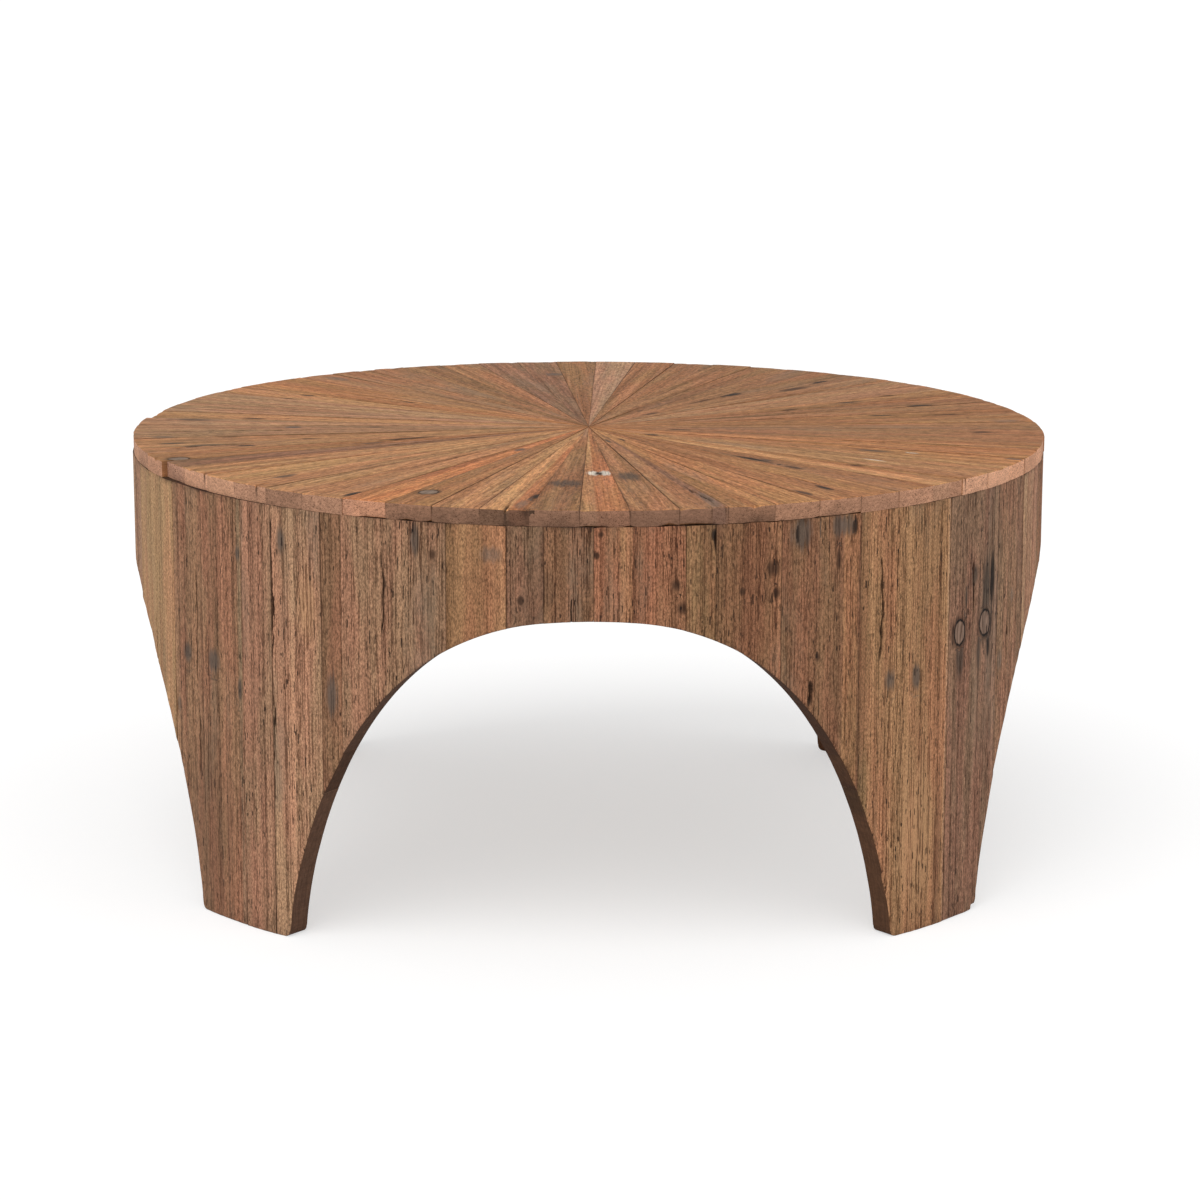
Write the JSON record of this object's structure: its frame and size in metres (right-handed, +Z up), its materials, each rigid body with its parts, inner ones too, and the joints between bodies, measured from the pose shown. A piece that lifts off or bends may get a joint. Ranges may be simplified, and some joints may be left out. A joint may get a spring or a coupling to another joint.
{
  "type": "round coffee table",
  "caption": "Round rustic coffee table: a sunburst top of wedge boards on a coopered drum of upright reclaimed staves, with arches sawn in to leave legs.",
  "frame": {"origin": "on the floor, under the middle of the round top", "axes": "+Z up out of the top; -Y towards the front, through the arch that faces the viewer; +X to the viewer's right"},
  "size_m": [1, 1, 0.465],
  "materials": {
    "top_boards": "old softwood and hardwood offcuts, sanded smooth, thin matte wax",
    "drum_staves": "reclaimed boards, wire-brushed, nail holes and cracks, matte",
    "cleat_wood": "sawn softwood, unfinished",
    "disc_plywood": "plain plywood, unfinished",
    "screw_steel": "zinc-plated wood screws"
  },
  "bodies": {
    "root": {"disc_screws": "screw_steel", "ring_cleat_1": "cleat_wood", "ring_cleat_2": "cleat_wood", "ring_cleat_3": "cleat_wood", "ring_cleat_4": "cleat_wood", "ring_cleat_5": "cleat_wood", "ring_cleat_6": "cleat_wood", "ring_cleat_7": "cleat_wood", "ring_cleat_8": "cleat_wood", "stave_01": "drum_staves", "stave_02": "drum_staves", "stave_03": "drum_staves", "stave_04": "drum_staves", "stave_05": "drum_staves", "stave_06": "drum_staves", "stave_07": "drum_staves", "stave_08": "drum_staves", "stave_09": "drum_staves", "stave_10": "drum_staves", "stave_11": "drum_staves", "stave_12": "drum_staves", "stave_13": "drum_staves", "stave_14": "drum_staves", "stave_15": "drum_staves", "stave_16": "drum_staves", "stave_17": "drum_staves", "stave_18": "drum_staves", "stave_19": "drum_staves", "stave_20": "drum_staves", "stave_21": "drum_staves", "stave_22": "drum_staves", "stave_23": "drum_staves", "stave_24": "drum_staves", "stave_25": "drum_staves", "stave_26": "drum_staves", "stave_27": "drum_staves", "stave_28": "drum_staves", "stave_29": "drum_staves", "stave_30": "drum_staves", "stave_31": "drum_staves", "stave_32": "drum_staves", "stave_33": "drum_staves", "stave_34": "drum_staves", "stave_35": "drum_staves", "stave_36": "drum_staves", "stave_37": "drum_staves", "stave_38": "drum_staves", "stave_39": "drum_staves", "stave_40": "drum_staves", "stave_41": "drum_staves", "stave_42": "drum_staves", "stave_43": "drum_staves", "stave_44": "drum_staves", "stave_screws": "screw_steel", "top_disc": "disc_plywood", "top_wedges_back_left": "top_boards", "top_wedges_back_right": "top_boards", "top_wedges_front_left": "top_boards", "top_wedges_front_right": "top_boards"}
  },
  "joints": []
}
